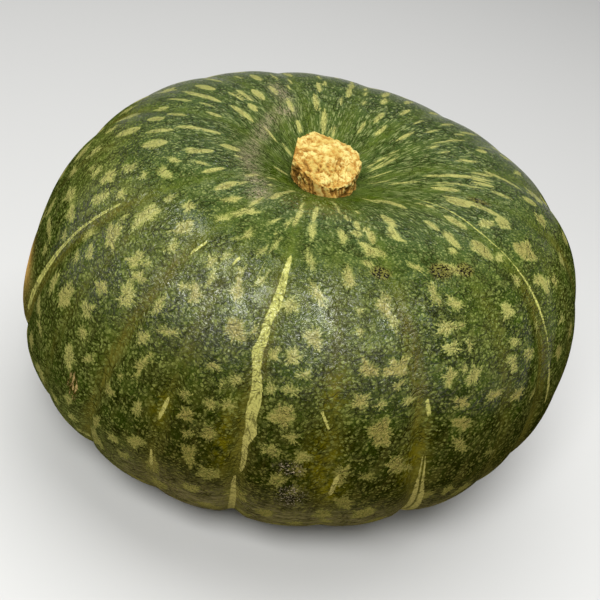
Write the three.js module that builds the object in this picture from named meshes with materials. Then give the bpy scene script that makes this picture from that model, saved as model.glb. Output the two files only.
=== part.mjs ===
// A kabocha squash as picked: the ribbed fruit and the corky stub of stem left on it.
// Millimetres, +Z up the fruit's own axis, the base resting on z = 0 below the middle of the box.
import * as THREE from "three";

// Driving dimensions of the fruit.
const meanRadius = 96;        // stem axis to rind at the widest level
const crownHeight = 66;       // widest level up to the shoulders
const baseDepth = 61;         // widest level down to the blossom end
const crownSquareness = 4.8;  // 2 is an ellipse, more makes the shoulder squarer
const baseSquareness = 2.35;
const basinDepth = 14.5;      // hollow that the stem stands in
const basinRadius = 28;
const basinShift = [-1.6, -3.4];      // how far the hollow sits off the crown's middle, in X and Y
const dimpleDepth = 6;        // hollow round the blossom scar
const dimpleRadius = 22;
const restFlat = 0.4;         // how much of the base is pressed flat where it stands

// The plan is not quite round: cosine and sine shares of 1, 2 and 3 swells per turn.
const planSwells = [[0.032, 0.002], [0.009, -0.007], [0.001, -0.011]];
const axisLean = [0.108, -0.018];     // sideways drift in X and Y for each mm of height
const shoulderTilt = [-0.048, -0.023];

// Seams between the ribs: direction at the waist in degrees, how far the seam swings round
// on its way up to the shoulder, and its depth in mm. Every main seam has a faint one near it.
const waistLatitude = 20;
const shoulderLatitude = 60;
const seams = [
  { at: -170, swing: 5, depth: 0.5 },
  { at: -148, swing: 14, depth: 1.3 },
  { at: -136, swing: 6, depth: 0.5 },
  { at: -122, swing: 5, depth: 1.4 },
  { at: -109, swing: 0, depth: 0.6 },
  { at: -95, swing: -4, depth: 2.0 },
  { at: -80, swing: -8, depth: 0.6 },
  { at: -64, swing: -10, depth: 1.7 },
  { at: -45, swing: -7, depth: 0.6 },
  { at: -33, swing: -3, depth: 1.4 },
  { at: -21, swing: -3, depth: 0.4 },
  { at: -9, swing: -3, depth: 1.2 },
  { at: 11, swing: 0, depth: 1.2 },
  { at: 32, swing: 3, depth: 0.6 },
  { at: 54, swing: 3, depth: 1.3 },
  { at: 67, swing: 4, depth: 0.5 },
  { at: 81, swing: 3, depth: 1.2 },
  { at: 98, swing: 0, depth: 0.5 },
  { at: 115, swing: -2, depth: 1.6 },
  { at: 129, swing: -3, depth: 0.5 },
  { at: 140, swing: -3, depth: 1.3 },
  { at: 157, swing: 0, depth: 0.5 },
  { at: 172, swing: 3, depth: 1.6 },
];
const seamWidth = 2.8;        // half-width of a seam's sharp crease
const valleyWidth = 9;        // half-width of the soft valley round the crease
const valleyShare = 0.8;      // valley depth as a share of the crease

// Driving dimensions of the stem stub.
const stemRadius = 11.4;
const stemHeight = 12.2;      // above its seat in the basin
const stemGap = 0.35;         // clearance between the stub and the fruit

const degrees = THREE.MathUtils.degToRad;

// Radius and height of the plain fruit, before ribs, at an angle from the stem end.
function profile(polar) {
  const reach = Math.sin(degrees(polar));
  const radius = meanRadius * reach;
  if (polar < 90) {
    const dome = crownHeight * Math.sqrt(1 - Math.abs(reach) ** crownSquareness);
    return { radius, height: dome - basinDepth * Math.exp(-((radius / basinRadius) ** 2)) };
  }
  const bowl = baseDepth * Math.sqrt(1 - Math.abs(reach) ** baseSquareness);
  return { radius, height: dimpleDepth * Math.exp(-((radius / dimpleRadius) ** 2)) - bowl };
}

// Direction of a seam at an angle from the stem end.
function seamAzimuth(seam, polar) {
  const climb = (90 - polar - waistLatitude) / (shoulderLatitude - waistLatitude);
  return seam.at + seam.swing * THREE.MathUtils.clamp(climb, -2, 1.2);
}

// Depth of the ribbing below the plain fruit. It fades out towards both ends.
function ribbing(azimuth, polar, radius) {
  let depth = 0;
  for (const seam of seams) {
    const turn = azimuth - seamAzimuth(seam, polar);
    const wrapped = turn - 360 * Math.round(turn / 360);
    const across = degrees(wrapped) * radius;
    const crease = Math.exp(-((across / seamWidth) ** 2));
    const valley = Math.exp(-((across / valleyWidth) ** 2));
    depth += seam.depth * (crease + valleyShare * valley);
  }
  return depth * (radius / meanRadius);
}

// A point of the fruit's rind, before the base is pressed flat.
function rindPoint(azimuth, polar) {
  const { radius, height } = profile(polar);
  const above = profile(polar - 0.2);
  const below = profile(polar + 0.2);
  const outward = new THREE.Vector2(above.height - below.height, below.radius - above.radius).normalize();
  const sunk = ribbing(azimuth, polar, radius);
  const turn = degrees(azimuth);
  let plan = 1;
  planSwells.forEach(([cosine, sine], order) => {
    plan += cosine * Math.cos((order + 1) * turn) + sine * Math.sin((order + 1) * turn);
  });
  const reach = (radius - sunk * outward.x) * plan;
  let rise = height - sunk * outward.y;
  if (polar < 90) {
    const tilt = shoulderTilt[0] * Math.cos(turn) + shoulderTilt[1] * Math.sin(turn);
    rise *= 1 + (tilt * radius) / meanRadius;
  }
  const shifted = polar < 90 ? Math.exp(-((radius / basinRadius) ** 2)) : 0;
  return new THREE.Vector3(
    reach * Math.cos(turn) + axisLean[0] * rise + basinShift[0] * shifted,
    reach * Math.sin(turn) + axisLean[1] * rise + basinShift[1] * shifted,
    rise,
  );
}

// Joins rings of points, lowest first, and a point at each end into one closed skin.
function closedSkin(bottom, rings, top) {
  const count = rings[0].length;
  const points = [bottom, ...rings.flat(), top];
  const at = (ring, column) => 1 + ring * count + (column % count);
  const faces = [];
  for (let column = 0; column < count; column += 1) {
    faces.push(0, at(0, column + 1), at(0, column));
    for (let ring = 0; ring < rings.length - 1; ring += 1) {
      faces.push(at(ring, column), at(ring, column + 1), at(ring + 1, column + 1));
      faces.push(at(ring, column), at(ring + 1, column + 1), at(ring + 1, column));
    }
    faces.push(at(rings.length - 1, column), at(rings.length - 1, column + 1), points.length - 1);
  }
  const geometry = new THREE.BufferGeometry().setFromPoints(points);
  geometry.setIndex(faces);
  geometry.computeVertexNormals();
  return geometry;
}

// The fruit: rind and flesh in one body. Columns of points follow the seams.
function makeFruit(seatPolar) {
  const ribShares = [0, 0.15, 0.4, 0.6, 0.85];
  const ringPolars = [175, 170, 165, 160];    // closer rings where the fruit stands
  for (let polar = 154; polar >= 10; polar -= 6) {
    ringPolars.push(polar);
  }
  ringPolars.push(seatPolar, seatPolar / 2);

  const rings = ringPolars.map((polar) => {
    const ring = [];
    seams.forEach((seam, order) => {
      const next = seams[(order + 1) % seams.length];
      const start = seamAzimuth(seam, polar);
      const end = seamAzimuth(next, polar);
      const width = THREE.MathUtils.euclideanModulo(end - start, 360);
      for (const share of ribShares) {
        ring.push(rindPoint(start + share * width, polar));
      }
    });
    return ring;
  });

  const standing = Math.min(...rings.flat().map((point) => point.z)) + restFlat;
  for (const point of rings.flat()) {
    point.z = Math.max(point.z, standing);
  }
  return closedSkin(rindPoint(0, 180), rings, rindPoint(0, 0));
}

// Lumps on the stub: direction, share of the way up the side and over the top, size, rise in mm.
const stemLumps = [
  { azimuth: 135, along: 0.62, size: 0.17, rise: 1.9 },
  { azimuth: 100, along: 0.72, size: 0.2, rise: 0.7 },
  { azimuth: 20, along: 0.45, size: 0.22, rise: 0.8 },
  { azimuth: -40, along: 0.35, size: 0.2, rise: 0.9 },
  { azimuth: -75, along: 0.7, size: 0.22, rise: 0.8 },
  { azimuth: -120, along: 0.4, size: 0.16, rise: 0.7 },
  { azimuth: 175, along: 0.45, size: 0.2, rise: 0.6 },
];

// The stub of stem: a low corky barrel with a spreading foot, cracks down its side and a lumpy top.
function makeStem(seatPolar) {
  const columns = 36;
  const outline = [    // share of the radius and of the height, from the foot to the top's middle
    [1.0, 0.02], [1.03, 0.1], [0.95, 0.2], [0.96, 0.42], [0.95, 0.62],
    [0.9, 0.8], [0.76, 0.93], [0.55, 1.0], [0.3, 0.97],
  ];
  const middle = rindPoint(0, 0);
  const underside = [seatPolar / 2, seatPolar].map((polar) => {
    return Array.from({ length: columns }, (_, column) => {
      const point = rindPoint((360 * column) / columns, polar);
      point.z += stemGap;
      return point;
    });
  });
  const edge = underside[1];
  const level = edge.reduce((sum, point) => sum + point.z, 0) / columns;
  const sides = outline.map(([share, climb], order) => {
    return edge.map((start, column) => {
      const azimuth = (360 * column) / columns;
      const turn = degrees(azimuth);
      const along = order / (outline.length - 1);
      let rise = 0;
      for (const lump of stemLumps) {
        const away = Math.hypot(
          Math.sin(degrees(azimuth - lump.azimuth) / 2) * share,
          along - lump.along,
        );
        rise += lump.rise * Math.exp(-((away / lump.size) ** 2));
      }
      const furrows = 0.35 * Math.sin(7 * turn + 1.1) + 0.25 * Math.sin(12 * turn + 4 * climb);
      const spread = (furrows + 0.7 * rise) * Math.min(1, 6 * climb) * share;
      return new THREE.Vector3(
        middle.x + (start.x - middle.x) * share + spread * Math.cos(turn),
        middle.y + (start.y - middle.y) * share + spread * Math.sin(turn),
        THREE.MathUtils.lerp(start.z, level, climb) + stemHeight * climb + rise * climb,
      );
    });
  });
  const foot = middle.clone();
  foot.z += stemGap;
  const tip = middle.clone();
  tip.z = level + stemHeight * 0.94;
  return closedSkin(foot, [...underside, ...sides], tip);
}

const seatPolar = THREE.MathUtils.radToDeg(Math.asin(stemRadius / meanRadius));
const rind = new THREE.MeshStandardMaterial({ color: 0x3a4d22, roughness: 0.45, metalness: 0 });
const cork = new THREE.MeshStandardMaterial({ color: 0xb98f4c, roughness: 0.9, metalness: 0 });
const fruit = new THREE.Mesh(makeFruit(seatPolar), rind);
const stem = new THREE.Mesh(makeStem(seatPolar), cork);
fruit.name = "fruit";
stem.name = "stem";

// The fruit's box is centred over the origin, with the base on z = 0.
fruit.geometry.computeBoundingBox();
const box = fruit.geometry.boundingBox;
const home = new THREE.Vector3((box.min.x + box.max.x) / -2, (box.min.y + box.max.y) / -2, -box.min.z);
fruit.position.copy(home);
stem.position.copy(home);

const squash = new THREE.Group();
squash.add(fruit, stem);

export default squash;
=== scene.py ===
import math
from functools import partial

import bpy
import numpy as np
from mathutils import Matrix, Vector
from mathutils.bvhtree import BVHTree


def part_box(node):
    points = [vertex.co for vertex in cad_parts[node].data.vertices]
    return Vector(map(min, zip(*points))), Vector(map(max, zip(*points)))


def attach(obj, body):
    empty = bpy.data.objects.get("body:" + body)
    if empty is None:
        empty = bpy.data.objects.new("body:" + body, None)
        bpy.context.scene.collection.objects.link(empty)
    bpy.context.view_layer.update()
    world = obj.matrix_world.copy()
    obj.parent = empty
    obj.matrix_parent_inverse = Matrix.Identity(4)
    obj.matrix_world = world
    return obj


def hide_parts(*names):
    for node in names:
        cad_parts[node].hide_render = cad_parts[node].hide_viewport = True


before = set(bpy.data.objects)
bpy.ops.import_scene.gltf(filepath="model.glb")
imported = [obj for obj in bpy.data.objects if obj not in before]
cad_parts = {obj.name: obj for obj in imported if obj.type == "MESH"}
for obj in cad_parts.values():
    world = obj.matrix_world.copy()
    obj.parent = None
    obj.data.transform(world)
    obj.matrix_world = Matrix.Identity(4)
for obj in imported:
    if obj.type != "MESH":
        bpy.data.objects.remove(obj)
scene = bpy.context.scene
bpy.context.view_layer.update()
mm = 0.001


def linear(red, green, blue):
    # sRGB 0-255 to the linear colour that the shaders work in
    parts = [value / 255 for value in (red, green, blue)]
    return tuple(p / 12.92 if p < 0.04045 else ((p + 0.055) / 1.055) ** 2.4 for p in parts) + (1.0,)


def feed(tree, socket, value):
    # plug a socket into a socket, or type a value into it
    if isinstance(value, bpy.types.NodeSocket):
        tree.links.new(value, socket)
    else:
        socket.default_value = value


def calc(tree, operation, *values):
    node = tree.nodes.new("ShaderNodeMath")
    node.operation = operation
    for socket, value in zip(node.inputs, values):
        feed(tree, socket, value)
    return node.outputs[0]


def vectorCalc(tree, operation, *values):
    node = tree.nodes.new("ShaderNodeVectorMath")
    node.operation = operation
    for socket, value in zip(node.inputs, values):
        feed(tree, socket, value)
    return node.outputs["Value" if operation in ("LENGTH", "DOT_PRODUCT") else "Vector"]


def openGroup(name, inputs, outputs):
    # an empty node group, what it is given and what it hands back
    tree = bpy.data.node_groups.new(name, "GeometryNodeTree")
    for direction, sockets in (("INPUT", inputs), ("OUTPUT", outputs)):
        for socket in sockets:
            kind = {"Geometry": "Geometry", "Edge Points": "Int"}.get(socket, "Float")
            tree.interface.new_socket(socket, in_out=direction, socket_type="NodeSocket" + kind)
    return tree, tree.nodes.new("NodeGroupInput").outputs, tree.nodes.new("NodeGroupOutput").inputs


def apart(tree, vector):
    node = tree.nodes.new("ShaderNodeSeparateXYZ")
    feed(tree, node.inputs[0], vector)
    return node.outputs


def placeAt(tree, geometry, *axes):
    # stand every point of a geometry at x, y and z
    body = tree.nodes.new("ShaderNodeCombineXYZ")
    for socket, value in zip(body.inputs, axes):
        feed(tree, socket, value)
    shaped = tree.nodes.new("GeometryNodeSetPosition")
    feed(tree, shaped.inputs["Geometry"], geometry)
    feed(tree, shaped.inputs["Position"], body.outputs[0])
    return shaped.outputs[0]


def pushOut(tree, geometry, amount):
    # move the points of a geometry along their normals
    scaled = tree.nodes.new("ShaderNodeVectorMath")
    scaled.operation = "SCALE"
    feed(tree, scaled.inputs[0], tree.nodes.new("GeometryNodeInputNormal").outputs[0])
    feed(tree, scaled.inputs["Scale"], amount)
    pushed = tree.nodes.new("GeometryNodeSetPosition")
    feed(tree, pushed.inputs["Geometry"], geometry)
    feed(tree, pushed.inputs["Offset"], scaled.outputs[0])
    return pushed.outputs[0]


def keepOnPoints(tree, geometry, name, kind, value):
    store = tree.nodes.new("GeometryNodeStoreNamedAttribute")
    store.data_type = kind
    store.domain = "POINT"
    store.inputs["Name"].default_value = name
    feed(tree, store.inputs["Geometry"], geometry)
    feed(tree, store.inputs["Value"], value)
    return store.outputs[0]


def startMaterial(name):
    material = bpy.data.materials.new(name)
    material.use_nodes = True
    return material, material.node_tree, material.node_tree.nodes["Principled BSDF"].inputs


def attributeOf(tree, name, output="Fac"):
    node = tree.nodes.new("ShaderNodeAttribute")
    node.attribute_name = name
    return node.outputs[output]


def addBump(tree, skin, height, strength, depth):
    bump = tree.nodes.new("ShaderNodeBump")
    bump.inputs["Strength"].default_value = strength
    bump.inputs["Distance"].default_value = depth * mm
    feed(tree, bump.inputs["Height"], height)
    feed(tree, skin["Normal"], bump.outputs[0])


def bell(tree, distance, width):
    # 1 in the middle, falling away smoothly over the width
    _, _, times, over = sums(tree)
    ratio = over(distance, width)
    return calc(tree, "EXPONENT", times(times(ratio, ratio), -1.0))


def sums(tree):
    # plus, minus, times and over for one tree, each for two values or more
    def chained(operation):
        def run(first, *rest):
            for value in rest:
                first = calc(tree, operation, first, value)
            return first
        return run
    return [chained(operation) for operation in ("ADD", "SUBTRACT", "MULTIPLY", "DIVIDE")]


def ramped(tree, value, low, high, least=0.0, most=1.0):
    node = tree.nodes.new("ShaderNodeMapRange")
    node.interpolation_type = "SMOOTHSTEP"
    feed(tree, node.inputs["Value"], value)
    for name, number in (("From Min", low), ("From Max", high), ("To Min", least), ("To Max", most)):
        feed(tree, node.inputs[name], number)
    return node.outputs[0]


def mixColour(tree, share, under, over):
    node = tree.nodes.new("ShaderNodeMix")
    node.data_type = "RGBA"
    feed(tree, node.inputs[0], share)
    feed(tree, node.inputs[6], under)
    feed(tree, node.inputs[7], over)
    return node.outputs[2]


def evenBall(tree, edgePoints):
    # an even ball: a cube's faces opened out, then pushed to unit length
    cube = tree.nodes.new("GeometryNodeMeshCube")
    cube.inputs["Size"].default_value = (2, 2, 2)
    for axis in ("Vertices X", "Vertices Y", "Vertices Z"):
        feed(tree, cube.inputs[axis], edgePoints)
    place = tree.nodes.new("GeometryNodeInputPosition").outputs[0]
    opened = vectorCalc(tree, "TANGENT", vectorCalc(tree, "MULTIPLY", place, (math.pi / 4,) * 3))
    ball = tree.nodes.new("GeometryNodeSetPosition")
    feed(tree, ball.inputs["Geometry"], cube.outputs["Mesh"])
    feed(tree, ball.inputs["Position"], vectorCalc(tree, "NORMALIZE", opened))
    return ball.outputs[0]


def finishTree(tree, geometry, skin, result):
    # smooth shading, instances made real, material set: the end of every tree
    shade = tree.nodes.new("GeometryNodeSetShadeSmooth")
    feed(tree, shade.inputs["Geometry"], geometry)
    realize = tree.nodes.new("GeometryNodeRealizeInstances")
    feed(tree, realize.inputs["Geometry"], shade.outputs[0])
    finish = tree.nodes.new("GeometryNodeSetMaterial")
    finish.inputs["Material"].default_value = skin
    feed(tree, finish.inputs["Geometry"], realize.outputs[0])
    feed(tree, result["Geometry"], finish.outputs[0])


def meshFrom(name, evaluated):
    # the result of a tree as a plain mesh on an object of its own
    mesh = bpy.data.meshes.new_from_object(evaluated)
    mesh.name = name
    piece = bpy.data.objects.new(name, mesh)
    scene.collection.objects.link(piece)
    return piece


def readPoints(mesh):
    flat = np.empty(len(mesh.vertices) * 3, np.float32)
    mesh.vertices.foreach_get("co", flat)
    return flat.reshape(-1, 3).astype(float)


def writePoints(mesh, points):
    mesh.vertices.foreach_set("co", points.astype(np.float32).ravel())
    mesh.update()


def writeValue(mesh, name, values):
    layer = mesh.attributes.new(name, "FLOAT", "POINT")
    layer.data.foreach_set("value", values.astype(np.float32))


def writeVector(mesh, name, vectors):
    layer = mesh.attributes.new(name, "FLOAT_VECTOR", "POINT")
    layer.data.foreach_set("vector", vectors.astype(np.float32).ravel())


view = {
    "aim": (-3.3 * mm, -1.2 * mm, 57.3 * mm),
    "distance": 380 * mm,
    "elevation": 36.0,
    "roll": 11.5,
    "lens": 62.04,
    "shift": (0.0215, -0.0078),
}


def setCamera():
    lift = math.radians(view["elevation"])
    turn = math.radians(view["roll"])
    forward = Vector((0, math.cos(lift), -math.sin(lift)))
    right = Vector((1, 0, 0))
    up = right.cross(forward)
    rolledRight = right * math.cos(turn) + up * math.sin(turn)
    rolledUp = up * math.cos(turn) - right * math.sin(turn)
    data = bpy.data.cameras.new("camera")
    data.lens = view["lens"]
    data.sensor_width = 36
    data.shift_x, data.shift_y = view["shift"]
    data.clip_start = 0.01
    camera = bpy.data.objects.new("camera", data)
    camera.matrix_world = Matrix.Translation(Vector(view["aim"]) - forward * view["distance"]) @ Matrix(
        (rolledRight, rolledUp, -forward)).transposed().to_4x4()
    scene.collection.objects.link(camera)
    scene.camera = camera


room = {
    "floorSize": 6.0,
    "floorColour": linear(206, 206, 204),
    "skyColour": (1.0, 1.0, 1.0, 1.0),
    "skyStrength": 0.06,
    # width, depth, power, azimuth, elevation and distance
    "lamps": {
        "ceiling": (1.1, 0.9, 11.0, 60.0, 84.0, 1.1),
        "window": (0.5, 0.3, 12.0, -98.0, 50.0, 1.1),
    },
}


def setRoom():
    scene.view_settings.view_transform = "Standard"
    floorMesh = bpy.data.meshes.new("floor")
    half = room["floorSize"] / 2
    floorMesh.from_pydata([(-half, -half, 0), (half, -half, 0), (half, half, 0), (-half, half, 0)], [],
                          [(0, 1, 2, 3)])
    floor = bpy.data.objects.new("floor", floorMesh)
    scene.collection.objects.link(floor)
    paint, _, skin = startMaterial("floorPaint")
    skin["Base Color"].default_value = room["floorColour"]
    skin["Roughness"].default_value = 0.9
    floorMesh.materials.append(paint)
    world = bpy.data.worlds.new("room")
    world.use_nodes = True
    world.node_tree.nodes["Background"].inputs["Color"].default_value = room["skyColour"]
    world.node_tree.nodes["Background"].inputs["Strength"].default_value = room["skyStrength"]
    scene.world = world
    for name, (width, depth, power, azimuth, elevation, distance) in room["lamps"].items():
        lamp = bpy.data.lights.new(name, "AREA")
        lamp.shape = "RECTANGLE"
        lamp.size, lamp.size_y = width, depth
        lamp.energy = power
        turn, lift = math.radians(azimuth), math.radians(elevation)
        away = Vector((math.cos(lift) * math.cos(turn), math.cos(lift) * math.sin(turn), math.sin(lift)))
        holder = bpy.data.objects.new(name, lamp)
        holder.location = Vector(view["aim"]) + away * distance
        holder.rotation_euler = away.to_track_quat("Z", "Y").to_euler()
        scene.collection.objects.link(holder)


setCamera()
setRoom()
print("camera and light are set")


fruit = {
    "name": "kabocha_fruit",
    "meanRadius": 96.0,
    "crownHeight": 66.0,
    "baseDepth": 61.0,
    "crownSquareness": 4.8,
    "baseSquareness": 2.35,
    "basinDepth": 14.5,
    "basinRadius": 28.0,
    "basinShift": (-1.6, -3.4),
    "dimpleDepth": 6.0,
    "dimpleRadius": 22.0,
    "restFlat": 0.4,
    "slopeStep": 0.003,       # radians either side, to find the profile's slope
    "fadeClimb": (-0.5, 0.6),
    "climbLeast": -2.0,       # where a seam stops swinging round: 0 at the waist, 1 at the shoulder
    "climbMost": 1.2,
    "planSwells": ((0.032, 0.002), (0.009, -0.007), (0.001, -0.011)),
    "axisLean": (0.108, -0.018),
    "shoulderTilt": (-0.048, -0.023),
    "waistLatitude": 20.0,
    "shoulderLatitude": 60.0,
    "seamWidth": 2.8,
    "valleyWidth": 9.0,
    "valleyShare": 0.8,
    "seamFade": 0.65,    # how much of a seam's sharp line is lost by the shoulder
    # azimuth at the waist, swing up to the shoulder, depth
    "seams": (
        (-170, 5, 0.5), (-148, 14, 1.3), (-136, 6, 0.5), (-122, 5, 1.4), (-109, 0, 0.6), (-95, -4, 2.0),
        (-80, -8, 0.6), (-64, -10, 1.7), (-45, -7, 0.6), (-33, -3, 1.4), (-21, -3, 0.4), (-9, -3, 1.2),
        (11, 0, 1.2), (32, 3, 0.6), (54, 3, 1.3), (67, 4, 0.5), (81, 3, 1.2), (98, 0, 0.5),
        (115, -2, 1.6), (129, -3, 0.5), (140, -3, 1.3), (157, 0, 0.5), (172, 3, 1.6),
    ),
    "edgePoints": 126,
    "pebbleSize": 3.2,
    "pebbleRelief": 0.16,
    "swellSize": 16.0,
    "swellRelief": 0.35,
    "seed": 7.0,
}


def profileGroup():
    # polar angle from the stem -> distance from the axis and height, before ribs
    sizes = ("Polar", "Mean Radius", "Crown Height", "Base Depth", "Crown Squareness", "Base Squareness",
             "Basin Depth", "Basin Radius", "Dimple Depth", "Dimple Radius")
    tree, given, result = openGroup("squashProfile", sizes, ("Reach", "Height"))
    plus, minus, times, _ = sums(tree)
    sine = calc(tree, "SINE", given["Polar"])
    reach = times(sine, given["Mean Radius"])
    share = calc(tree, "ABSOLUTE", sine)

    def bulge(squareness, height):
        rest = minus(1.0, calc(tree, "POWER", share, squareness))
        return times(calc(tree, "SQRT", calc(tree, "MAXIMUM", rest, 0.0)), height)

    def dent(depth, width):
        return times(bell(tree, reach, width), depth)

    crown = minus(bulge(given["Crown Squareness"], given["Crown Height"]),
                  dent(given["Basin Depth"], given["Basin Radius"]))
    base = minus(dent(given["Dimple Depth"], given["Dimple Radius"]),
                 bulge(given["Base Squareness"], given["Base Depth"]))
    isCrown = calc(tree, "GREATER_THAN", calc(tree, "COSINE", given["Polar"]), 0.0)
    height = plus(base, times(isCrown, minus(crown, base)))
    feed(tree, result["Reach"], reach)
    feed(tree, result["Height"], height)
    return tree


seamSizes = ("Seam Width", "Valley Width", "Valley Share", "Seam Fade")


def seamGroup():
    # how deep one seam and its valley sink the skin at a point
    places = ("Azimuth", "Climb", "Distance", "At", "Swing", "Depth")
    tree, given, result = openGroup("squashSeam", places + seamSizes, ("Sunk",))
    plus, minus, times, _ = sums(tree)
    line = plus(given["At"], times(given["Swing"], given["Climb"]))
    turn = calc(tree, "WRAP", minus(given["Azimuth"], line), math.pi, -math.pi)
    across = times(turn, given["Distance"])
    kept = minus(1.0, times(given["Seam Fade"], ramped(tree, given["Climb"], *fruit["fadeClimb"])))
    both = plus(times(bell(tree, across, given["Seam Width"]), kept),
                times(bell(tree, across, given["Valley Width"]), given["Valley Share"]))
    feed(tree, result["Sunk"], times(both, given["Depth"]))
    return tree


fruitInputs = (
    ("Edge Points", "edgePoints", 1),
    ("Mean Radius", "meanRadius", mm),
    ("Crown Height", "crownHeight", mm),
    ("Base Depth", "baseDepth", mm),
    ("Crown Squareness", "crownSquareness", 1),
    ("Base Squareness", "baseSquareness", 1),
    ("Basin Depth", "basinDepth", mm),
    ("Basin Radius", "basinRadius", mm),
    ("Dimple Depth", "dimpleDepth", mm),
    ("Dimple Radius", "dimpleRadius", mm),
    ("Seam Width", "seamWidth", mm),
    ("Valley Width", "valleyWidth", mm),
    ("Valley Share", "valleyShare", 1),
    ("Seam Fade", "seamFade", 1),
    ("Waist Latitude", "waistLatitude", math.pi / 180),
    ("Shoulder Latitude", "shoulderLatitude", math.pi / 180),
    ("Pebble Size", "pebbleSize", mm),
    ("Pebble Relief", "pebbleRelief", mm),
    ("Swell Size", "swellSize", mm),
    ("Swell Relief", "swellRelief", mm),
    ("Seed", "seed", 1),
)


def fruitTree(skin):
    sockets = ["Geometry"] + [name for name, _, _ in fruitInputs]
    tree, given, result = openGroup("squashFruit", sockets, ("Geometry",))
    plus, minus, times, over = sums(tree)

    ball = evenBall(tree, given["Edge Points"])
    place = tree.nodes.new("GeometryNodeInputPosition").outputs[0]
    marked = keepOnPoints(tree, ball, "growthDirection", "FLOAT_VECTOR", place)

    # the direction of each point, as a polar angle from the stem and an azimuth
    dx, dy, dz = apart(tree, place)
    flat = calc(tree, "SQRT", plus(times(dx, dx), times(dy, dy)))
    polar = calc(tree, "ARCTAN2", flat, dz)
    azimuth = calc(tree, "ARCTAN2", dy, dx)
    profile = profileGroup()

    def profileAt(step):
        node = tree.nodes.new("GeometryNodeGroup")
        node.node_tree = profile
        feed(tree, node.inputs["Polar"], plus(polar, step))
        for socket in node.inputs[1:]:
            feed(tree, socket, given[socket.name])
        return node.outputs["Reach"], node.outputs["Height"]

    reach, height = profileAt(0.0)
    reachBefore, heightBefore = profileAt(-fruit["slopeStep"])
    reachAfter, heightAfter = profileAt(fruit["slopeStep"])
    outward = minus(heightBefore, heightAfter)
    upward = minus(reachAfter, reachBefore)
    span = calc(tree, "SQRT", plus(times(outward, outward),
                                   times(upward, upward)))
    outward = over(outward, span)
    upward = over(upward, span)

    # every seam sinks the skin along the profile's normal
    latitude = minus(math.pi / 2, polar)
    climb = over(minus(latitude, given["Waist Latitude"]),
                 minus(given["Shoulder Latitude"], given["Waist Latitude"]))
    climb = calc(tree, "MAXIMUM", calc(tree, "MINIMUM", climb, fruit["climbMost"]), fruit["climbLeast"])
    seam = seamGroup()
    sinks = []
    for at, swing, depth in fruit["seams"]:
        node = tree.nodes.new("GeometryNodeGroup")
        node.node_tree = seam
        feed(tree, node.inputs["Azimuth"], azimuth)
        feed(tree, node.inputs["Climb"], climb)
        feed(tree, node.inputs["Distance"], reach)
        node.inputs["At"].default_value = math.radians(at)
        node.inputs["Swing"].default_value = math.radians(swing)
        node.inputs["Depth"].default_value = depth * mm
        for name in seamSizes:
            feed(tree, node.inputs[name], given[name])
        sinks.append(node.outputs["Sunk"])
    share = over(reach, given["Mean Radius"])
    sunk = times(plus(*sinks), share)

    # the plan swells a little out of round, the shoulders tilt and the axis leans
    swells = [1.0]
    for order, (east, north) in enumerate(fruit["planSwells"], 1):
        angle = times(azimuth, float(order))
        swells.append(times(calc(tree, "COSINE", angle), east))
        swells.append(times(calc(tree, "SINE", angle), north))
    plan = plus(*swells)
    outer = times(minus(reach, times(sunk, outward)), plan)
    rise = minus(height, times(sunk, upward))
    isCrown = calc(tree, "GREATER_THAN", dz, 0.0)
    cosine, sine = calc(tree, "COSINE", azimuth), calc(tree, "SINE", azimuth)
    tilt = plus(times(cosine, fruit["shoulderTilt"][0]),
                times(sine, fruit["shoulderTilt"][1]))
    tilt = times(times(tilt, share), isCrown)
    rise = times(rise, plus(tilt, 1.0))
    nearStem = times(bell(tree, reach, given["Basin Radius"]), isCrown)

    def side(turned, lean, shift):
        return plus(times(outer, turned), times(rise, lean), times(nearStem, shift * mm))

    east = side(cosine, fruit["axisLean"][0], fruit["basinShift"][0])
    north = side(sine, fruit["axisLean"][1], fruit["basinShift"][1])
    shaped = placeAt(tree, marked, east, north, rise)

    # slow swells and close pebbling, pressed in so that nothing stands proud
    def relief(size, depth, detail):
        texture = tree.nodes.new("ShaderNodeTexNoise")
        texture.noise_dimensions = "4D"
        feed(tree, texture.inputs["W"], given["Seed"])
        texture.inputs["Detail"].default_value = detail
        feed(tree, texture.inputs["Scale"], over(1.0, size))
        return times(texture.outputs[0], times(depth, -1.0))

    pressed = plus(relief(given["Pebble Size"], given["Pebble Relief"], 1.0),
                   relief(given["Swell Size"], given["Swell Relief"], 0.0))
    finishTree(tree, pushOut(tree, shaped, pressed), skin, result)
    return tree


def grow(name, tree, inputs, sizes):
    # run a tree on a bare object and keep its result as a plain mesh
    bare = bpy.data.objects.new(name + "Seed", bpy.data.meshes.new(name + "Seed"))
    scene.collection.objects.link(bare)
    modifier = bare.modifiers.new("grow", "NODES")
    modifier.node_group = tree
    sockets = {item.name: item.identifier for item in tree.interface.items_tree if item.in_out == "INPUT"}
    for socket, key, unit in inputs:
        value = sizes[key] * unit
        modifier[sockets[socket]] = int(value) if socket == "Edge Points" else float(value)
    evaluated = bare.evaluated_get(bpy.context.evaluated_depsgraph_get())
    piece = meshFrom(name, evaluated)
    bare.modifiers.remove(modifier)
    bpy.data.objects.remove(bare)
    return piece


def seatFruit(piece):
    # settle the grown fruit into its place in the frame: base pressed flat, box filled exactly
    low, high = (np.array(corner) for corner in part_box("fruit"))
    points = readPoints(piece.data)
    points[:, 2] = np.maximum(points[:, 2], points[:, 2].min() + fruit["restFlat"] * mm)
    least, most = points.min(0), points.max(0)
    points = low + (points - least) * (high - low) / (most - least)
    writePoints(piece.data, points)
    print("fruit grown, stretch", np.round((high - low) / (most - least), 4))


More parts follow.
